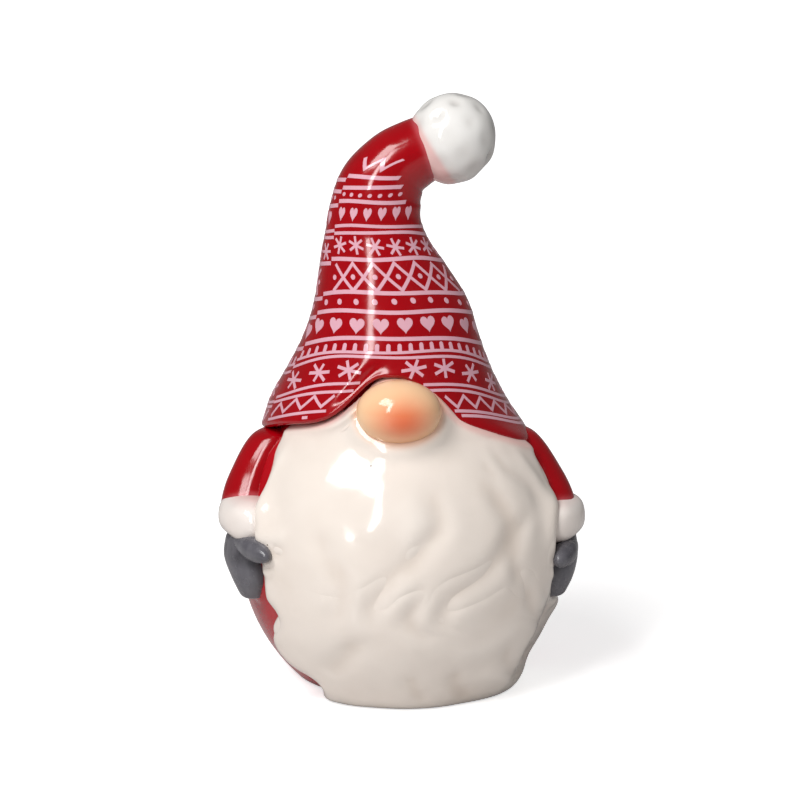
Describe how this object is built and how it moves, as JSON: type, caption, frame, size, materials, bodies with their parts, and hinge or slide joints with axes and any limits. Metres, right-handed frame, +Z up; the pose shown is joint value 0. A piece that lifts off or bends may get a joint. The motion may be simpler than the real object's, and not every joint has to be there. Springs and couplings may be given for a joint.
{
  "type": "tomte gnome figurine",
  "caption": "Standing glazed ceramic gnome with a tall bent hat printed with a folk pattern, a wavy beard, a round nose and mittens, for shelf or table display.",
  "frame": {"origin": "centre of the figure's footprint box, on the plane of the foot it stands on", "axes": "+Z up through the hat, the figure faces -Y, +X is the figure's left hand side"},
  "size_m": [0.1088, 0.1024, 0.1789],
  "materials": {
    "red_glaze": "gloss",
    "cream_glaze": "gloss",
    "white_glaze": "gloss",
    "peach_glaze": "gloss",
    "grey_glaze": "satin",
    "pink_print": "gloss"
  },
  "bodies": {
    "root": {"body_shell": "red_glaze", "beard": "cream_glaze", "hat_shell": "red_glaze", "bobble": "white_glaze", "nose": "peach_glaze", "left_sleeve": "red_glaze", "right_sleeve": "red_glaze", "left_cuff": "white_glaze", "right_cuff": "white_glaze", "left_mitten": "grey_glaze", "right_mitten": "grey_glaze", "left_thumb": "grey_glaze", "right_thumb": "grey_glaze", "hat_transfer_front": "pink_print", "hat_transfer_back": "pink_print"}
  },
  "joints": []
}
